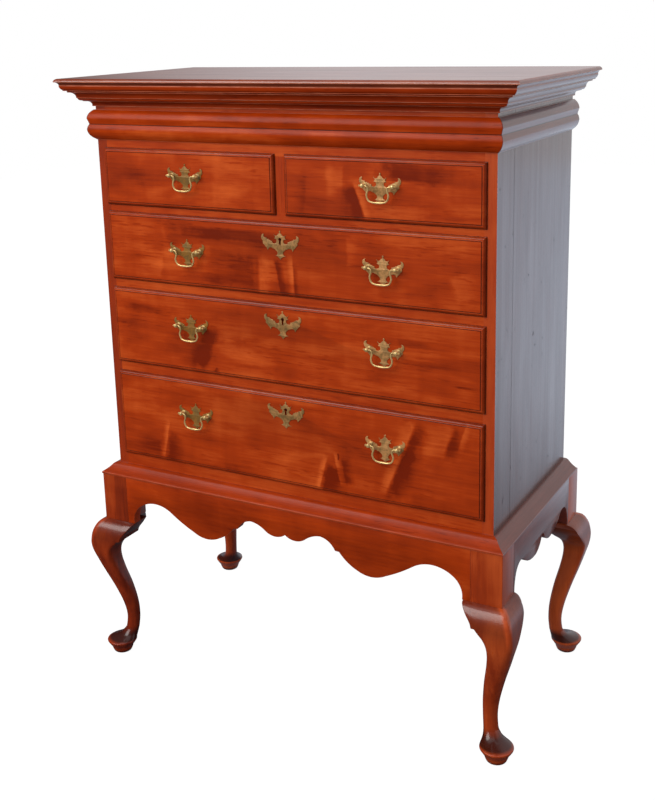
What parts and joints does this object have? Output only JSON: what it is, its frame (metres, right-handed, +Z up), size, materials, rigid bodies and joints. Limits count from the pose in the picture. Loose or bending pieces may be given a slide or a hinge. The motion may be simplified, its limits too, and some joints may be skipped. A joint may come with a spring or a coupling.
{
  "type": "highboy",
  "caption": "Flat-topped highboy: a chest of lipped drawers with batwing brasses on a low frame with cabriole legs, pad feet and a shaped apron.",
  "frame": {"origin": "centre of the whole piece in plan, on the floor under the feet", "axes": "+X to the right seen from the front, +Y to the back, +Z up"},
  "size_m": [1.036, 0.555, 1.3555],
  "materials": {
    "case_wood": "satin, stained and polished orange-red hardwood",
    "secondary_wood": "bare softwood",
    "brass": "aged, lightly tarnished",
    "lock_iron": "dull"
  },
  "bodies": {
    "carcase": {"side_right": "case_wood", "side_left": "case_wood", "top_board": "case_wood", "bottom_board": "secondary_wood", "back_boards": "secondary_wood", "drawer_rails": "case_wood", "drawer_divider": "case_wood", "drawer_runners": "secondary_wood", "cornice_front": "case_wood", "cornice_returns": "case_wood", "frieze_returns": "case_wood", "waist_front": "case_wood", "waist_returns": "case_wood", "apron_front": "case_wood", "side_aprons": "case_wood", "apron_back": "case_wood", "frame_bearers": "secondary_wood", "leg_front_right": "case_wood", "leg_front_left": "case_wood", "leg_back_right": "case_wood", "leg_back_left": "case_wood", "knee_blocks": "case_wood"},
    "frieze_drawer": {"frieze_front": "case_wood", "frieze_box": "secondary_wood", "frieze_bottom": "secondary_wood"},
    "small_left_drawer": {"small_left_front": "case_wood", "small_left_box": "secondary_wood", "small_left_bottom": "secondary_wood", "small_left_brasses": "brass"},
    "small_left_bail": {"small_left_bail": "brass"},
    "small_right_drawer": {"small_right_front": "case_wood", "small_right_box": "secondary_wood", "small_right_bottom": "secondary_wood", "small_right_brasses": "brass"},
    "small_right_bail": {"small_right_bail": "brass"},
    "upper_long_drawer": {"upper_long_front": "case_wood", "upper_long_box": "secondary_wood", "upper_long_bottom": "secondary_wood", "upper_long_brasses": "brass", "upper_long_lock_case": "lock_iron"},
    "upper_long_bail_left": {"upper_long_bail_left": "brass"},
    "upper_long_bail_right": {"upper_long_bail_right": "brass"},
    "upper_long_lock_bolt": {"upper_long_lock_bolt": "lock_iron"},
    "middle_long_drawer": {"middle_long_front": "case_wood", "middle_long_box": "secondary_wood", "middle_long_bottom": "secondary_wood", "middle_long_brasses": "brass", "middle_long_lock_case": "lock_iron"},
    "middle_long_bail_left": {"middle_long_bail_left": "brass"},
    "middle_long_bail_right": {"middle_long_bail_right": "brass"},
    "middle_long_lock_bolt": {"middle_long_lock_bolt": "lock_iron"},
    "lower_long_drawer": {"lower_long_front": "case_wood", "lower_long_box": "secondary_wood", "lower_long_bottom": "secondary_wood", "lower_long_brasses": "brass", "lower_long_lock_case": "lock_iron"},
    "lower_long_bail_left": {"lower_long_bail_left": "brass"},
    "lower_long_bail_right": {"lower_long_bail_right": "brass"},
    "lower_long_lock_bolt": {"lower_long_lock_bolt": "lock_iron"}
  },
  "joints": [
    {"name": "frieze_slide", "type": "slide", "parent": "carcase", "child": "frieze_drawer", "axis": [0, -1, 0], "range_m": [0, 0.33]},
    {"name": "small_left_slide", "type": "slide", "parent": "carcase", "child": "small_left_drawer", "axis": [0, -1, 0], "range_m": [0, 0.33]},
    {"name": "small_left_bail_swing", "type": "hinge", "parent": "small_left_drawer", "child": "small_left_bail", "pos_m": [-0.2255, -0.237, 1.1555], "axis": [-1, 0, 0], "range_deg": [0, 85]},
    {"name": "small_right_slide", "type": "slide", "parent": "carcase", "child": "small_right_drawer", "axis": [0, -1, 0], "range_m": [0, 0.33]},
    {"name": "small_right_bail_swing", "type": "hinge", "parent": "small_right_drawer", "child": "small_right_bail", "pos_m": [0.2255, -0.237, 1.1555], "axis": [-1, 0, 0], "range_deg": [0, 85]},
    {"name": "upper_long_slide", "type": "slide", "parent": "carcase", "child": "upper_long_drawer", "axis": [0, -1, 0], "range_m": [0, 0.33]},
    {"name": "upper_long_bail_left_swing", "type": "hinge", "parent": "upper_long_drawer", "child": "upper_long_bail_left", "pos_m": [-0.2295, -0.237, 0.996], "axis": [-1, 0, 0], "range_deg": [0, 85]},
    {"name": "upper_long_bail_right_swing", "type": "hinge", "parent": "upper_long_drawer", "child": "upper_long_bail_right", "pos_m": [0.2295, -0.237, 0.996], "axis": [-1, 0, 0], "range_deg": [0, 85]},
    {"name": "upper_long_lock_bolt_throw", "type": "slide", "parent": "upper_long_drawer", "child": "upper_long_lock_bolt", "axis": [0, 0, 1], "range_m": [0, 0.008]},
    {"name": "middle_long_slide", "type": "slide", "parent": "carcase", "child": "middle_long_drawer", "axis": [0, -1, 0], "range_m": [0, 0.33]},
    {"name": "middle_long_bail_left_swing", "type": "hinge", "parent": "middle_long_drawer", "child": "middle_long_bail_left", "pos_m": [-0.2295, -0.237, 0.831], "axis": [-1, 0, 0], "range_deg": [0, 85]},
    {"name": "middle_long_bail_right_swing", "type": "hinge", "parent": "middle_long_drawer", "child": "middle_long_bail_right", "pos_m": [0.2295, -0.237, 0.831], "axis": [-1, 0, 0], "range_deg": [0, 85]},
    {"name": "middle_long_lock_bolt_throw", "type": "slide", "parent": "middle_long_drawer", "child": "middle_long_lock_bolt", "axis": [0, 0, 1], "range_m": [0, 0.008]},
    {"name": "lower_long_slide", "type": "slide", "parent": "carcase", "child": "lower_long_drawer", "axis": [0, -1, 0], "range_m": [0, 0.33]},
    {"name": "lower_long_bail_left_swing", "type": "hinge", "parent": "lower_long_drawer", "child": "lower_long_bail_left", "pos_m": [-0.2295, -0.237, 0.631], "axis": [-1, 0, 0], "range_deg": [0, 85]},
    {"name": "lower_long_bail_right_swing", "type": "hinge", "parent": "lower_long_drawer", "child": "lower_long_bail_right", "pos_m": [0.2295, -0.237, 0.631], "axis": [-1, 0, 0], "range_deg": [0, 85]},
    {"name": "lower_long_lock_bolt_throw", "type": "slide", "parent": "lower_long_drawer", "child": "lower_long_lock_bolt", "axis": [0, 0, 1], "range_m": [0, 0.008]}
  ]
}
